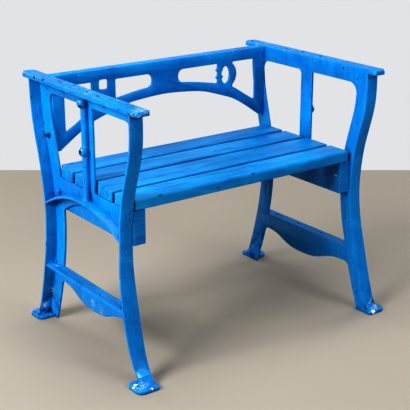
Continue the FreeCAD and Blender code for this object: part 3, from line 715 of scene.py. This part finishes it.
# The battens take a darker copy of the board blues, as painted shade for their place under the seat.
shaded_bearer_blues = ((0.0002, 0.060, 0.200, 1.0), (0.0004, 0.130, 0.360, 1.0), (0.0010, 0.215, 0.500, 1.0))
run_place = (0.3465, -0.1805, 0.3370)
run_radius = 0.0034
run_shape = (1.0, 0.8, 1.25, 1.0)

for number, node in enumerate(("left_batten", "right_batten")):
    seed = 40.0 + 5.0 * number
    shift = (0.0, 5.0 + 3.0 * number, 2.0)
    low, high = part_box(node)
    form = sawn_board(low, high, 1)
    weather(form, 1, seed, bearer_swell)
    batten = add_piece(node.replace("batten", "bearer"), form)
    soften(batten, bearer_edge, board_edge_steps, board_corner_angle)
    batten.data.materials.append(board_paint(node + "_paint", shift, shaded_bearer_blues))
    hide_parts(node)
    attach(batten, "root")

run_form = bmesh.new()
bmesh.ops.create_uvsphere(run_form, u_segments=20, v_segments=12, radius=run_radius)
run_form.transform(Matrix.Translation(run_place) @ Matrix.Diagonal(run_shape))
paint_run = add_piece("paint_run", run_form)
paint_run.data.polygons.foreach_set("use_smooth", [True] * len(paint_run.data.polygons))
paint_run.data.materials.append(bpy.data.materials["right_batten_paint"])
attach(paint_run, "root")


# The bolts, nuts and screws are plain steel, fitted before the last coats, so the gloss
# blue covers them too: domed bolts through the battens, hexagon bolts and flat-headed
# screws at the ends of the panel, and slotted wood screws down through the planks.
fastener_corner_angle = math.radians(35)
shank_radius = 0.0040
shank_lap = 0.002
thread_depth = 0.0004
thread_pitch = 0.00125
thread_stand = 0.0030
nut_flats = 0.0130
nut_thickness = 0.0065
nut_chamfer = 0.0009
nut_clearance = 0.0001
nut_stock = 0.0004
nut_edge = 0.0003
dome_profile = ((0.0, 0.0), (0.0022, 0.0003), (0.0042, 0.0012), (0.0057, 0.0023), (0.0066, 0.0033), (0.0070, 0.0040))
dome_outer = 0.3087
dome_edge = 0.0002
batten_bolt_spots = ((-0.162, 0.381), (0.162, 0.381))
panel_bolt_spot = (0.205, 0.52305)
panel_bolt_head = (0.3369, 0.3422)
panel_screw_spot = (0.205, 0.6449)
panel_screw_head_radius = 0.0075
panel_screw_head_depth = 0.0038
panel_screw_rim = 0.0004
panel_screw_chamfer = 0.0006
panel_screw_tip = 0.3327
panel_screw_slot = (0.0026, 0.020, 0.0014, 1.0)
panel_screw_slot_angles = {-1: -15, 1: 65}
panel_screw_edge = 0.0002
panel_inner_nut = 0.3357
wood_screw_radius = 0.0042
wood_screw_shank = 0.0020
wood_screw_depth = 0.0034
wood_screw_length = 0.052
wood_screw_sink = 0.0003
wood_screw_rim = 0.0002
wood_screw_slot = (0.012, 0.0010, 0.0018, 1.0)
wood_screw_edge = 0.0001
wood_screw_xs = (-0.3312, 0.3232)
wood_screw_inset = 0.020
seat_top = 0.451
even_streaks = (60.0, 60.0, 60.0)
steel_paint = iron_paint(
    "fastener_paint", even_streaks,
    dark_chips_and_shade=((-0.3600, 0.2110, 0.5200, 0.0100), (-0.3620, 0.1980, 0.5260, 0.0060)),
    # The pale speckled patch on the right front domed bolt head is a painted highlight that lightens the dome.
    flecks_and_highlights=((0.3088, -0.1660, 0.3850, 0.0120),),
)


def lay_outward(side, x, y, z):
    """Turn a part made upright so that its top points out through one web."""
    return Matrix.Translation((side * x, y, z)) @ Matrix.Rotation(math.radians(side * 90), 4, "Y")


def threaded_end(start, end):
    """Radius and height pairs of a shank whose last turns are cut with a thread."""
    points = [(shank_radius, start), (shank_radius, end - thread_stand)]
    height = end - thread_stand
    while height + thread_pitch < end:
        points += [(shank_radius - thread_depth, height + thread_pitch / 2), (shank_radius, height + thread_pitch)]
        height += thread_pitch
    return points + [(shank_radius - 2 * thread_depth, end), (0.0, end)]


def add_nut(blanks, corners, side, start, y, z, thickness):
    """A hexagon, and the turned blank that it is cut from, which chamfers its corners."""
    half = thickness / 2
    corner_radius = nut_flats / math.sqrt(3)
    hexagon = bmesh.new()
    bmesh.ops.create_cone(
        hexagon, cap_ends=True, segments=6, radius1=corner_radius, radius2=corner_radius, depth=thickness,
        matrix=Matrix.Rotation(math.radians(90), 4, "Z"),
    )
    join_in(blanks, hexagon, lay_outward(side, start + half, y, z))
    # The blank is longer than the hexagon by some stock, so that no end faces lie in one plane.
    flat = nut_flats / 2 - nut_clearance
    rim = corner_radius + nut_clearance
    end = half + nut_stock
    tip = flat - nut_stock * (rim - flat) / nut_chamfer
    profile = (
        (0.0, -end), (tip, -end), (rim, nut_chamfer - half), (rim, half - nut_chamfer), (tip, end), (0.0, end),
    )
    blank = bmesh.new()
    turn_on_lathe(blank, profile, steps=36)
    join_in(corners, blank, lay_outward(side, start + half, y, z))


def finish_fastener(piece, node, edge):
    """Soften and paint a set of fasteners, and put it in the place of its node."""
    soften(piece, edge, angle=fastener_corner_angle)
    piece.data.materials.clear()
    piece.data.materials.append(steel_paint)
    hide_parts(node)
    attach(piece, "root")


domed_bolts = bmesh.new()
bolt_length = web_outer_face + nut_thickness + thread_stand - dome_outer
for side in (-1, 1):
    for y, z in batten_bolt_spots:
        bolt = bmesh.new()
        turn_on_lathe(bolt, dome_profile + tuple(threaded_end(dome_profile[-1][1], bolt_length)))
        join_in(domed_bolts, bolt, lay_outward(side, dome_outer, y, z))
finish_fastener(add_piece("domed_bolts", domed_bolts), "batten_bolts", dome_edge)

nut_sets = {
    "batten_nuts": [(side, web_outer_face, *spot) for side in (-1, 1) for spot in batten_bolt_spots],
    "panel_nuts": [(side, web_outer_face, *panel_bolt_spot) for side in (-1, 1)]
    + [(side, panel_inner_nut, *panel_screw_spot) for side in (-1, 1)],
}
for node, spots in nut_sets.items():
    blanks = bmesh.new()
    corners = bmesh.new()
    bores = bmesh.new()
    for side, start, y, z in spots:
        add_nut(blanks, corners, side, start, y, z, nut_thickness)
        bore_start = (side * (start - shank_lap), y, z)
        bore_end = (side * (start + nut_thickness + shank_lap), y, z)
        add_rod(bores, bore_start, bore_end, shank_radius, sides=32)
    nuts = add_piece("hexagon_" + node, blanks)
    cut_with(nuts, add_piece("blank", corners), "INTERSECT")
    cut_with(nuts, add_piece("bore", bores))
    finish_fastener(nuts, node, nut_edge)

heads = bmesh.new()
corners = bmesh.new()
shanks = bmesh.new()
head_start, head_end = panel_bolt_head
shank_profile = threaded_end(0.0, web_outer_face + nut_thickness + thread_stand - head_end)
for side in (-1, 1):
    add_nut(heads, corners, side, head_start, *panel_bolt_spot, head_end - head_start)
    shank = bmesh.new()
    turn_on_lathe(shank, [(0.0, -shank_lap), (shank_radius, -shank_lap)] + shank_profile)
    join_in(shanks, shank, lay_outward(side, head_end, *panel_bolt_spot))
hexagon_bolts = add_piece("hexagon_bolts", heads)
cut_with(hexagon_bolts, add_piece("blank", corners), "INTERSECT")
cut_with(hexagon_bolts, add_piece("shank", shanks), "UNION")
finish_fastener(hexagon_bolts, "panel_bolts", nut_edge)

flat_screws = bmesh.new()
slots = bmesh.new()
depth = web_outer_face - panel_screw_tip
profile = (
    (0.0, 0.0), (shank_radius, 0.0), (shank_radius, depth - panel_screw_head_depth),
    (panel_screw_head_radius, depth - panel_screw_rim), (panel_screw_head_radius - panel_screw_chamfer, depth),
    (0.0, depth),
)
for side in (-1, 1):
    screw = bmesh.new()
    turn_on_lathe(screw, profile, steps=36)
    join_in(flat_screws, screw, lay_outward(side, panel_screw_tip, *panel_screw_spot))
    turn = Matrix.Rotation(math.radians(panel_screw_slot_angles[side]), 4, "X")
    middle = Matrix.Translation((side * web_outer_face, *panel_screw_spot))
    bmesh.ops.create_cube(slots, size=1.0, matrix=middle @ turn @ Matrix.Diagonal(panel_screw_slot))
slotted_screws = add_piece("slotted_screws", flat_screws)
cut_with(slotted_screws, add_piece("slot", slots))
finish_fastener(slotted_screws, "panel_screws", panel_screw_edge)

wood_screws = bmesh.new()
slots = bmesh.new()
profile = (
    (0.0, -wood_screw_length), (wood_screw_shank, -wood_screw_length), (wood_screw_shank, -wood_screw_depth),
    (wood_screw_radius, -wood_screw_rim), (wood_screw_radius - wood_screw_rim, 0.0), (0.0, 0.0),
)
for number, node in enumerate(board_notches):
    low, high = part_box(node)
    for row, x in enumerate(wood_screw_xs):
        for column, y in enumerate((low.y + wood_screw_inset, high.y - wood_screw_inset)):
            screw = bmesh.new()
            turn_on_lathe(screw, profile, steps=20)
            middle = Matrix.Translation((x, y, seat_top - wood_screw_sink))
            join_in(wood_screws, screw, middle)
            # Each slot was left at an angle of its own.
            slot_angle = math.radians(37 + 71 * number + 113 * row + 49 * column)
            turn = Matrix.Rotation(slot_angle, 4, "Z")
            bmesh.ops.create_cube(slots, size=1.0, matrix=middle @ turn @ Matrix.Diagonal(wood_screw_slot))
board_screws = add_piece("board_screws", wood_screws)
cut_with(board_screws, add_piece("slot", slots))
finish_fastener(board_screws, "plank_screws", wood_screw_edge)
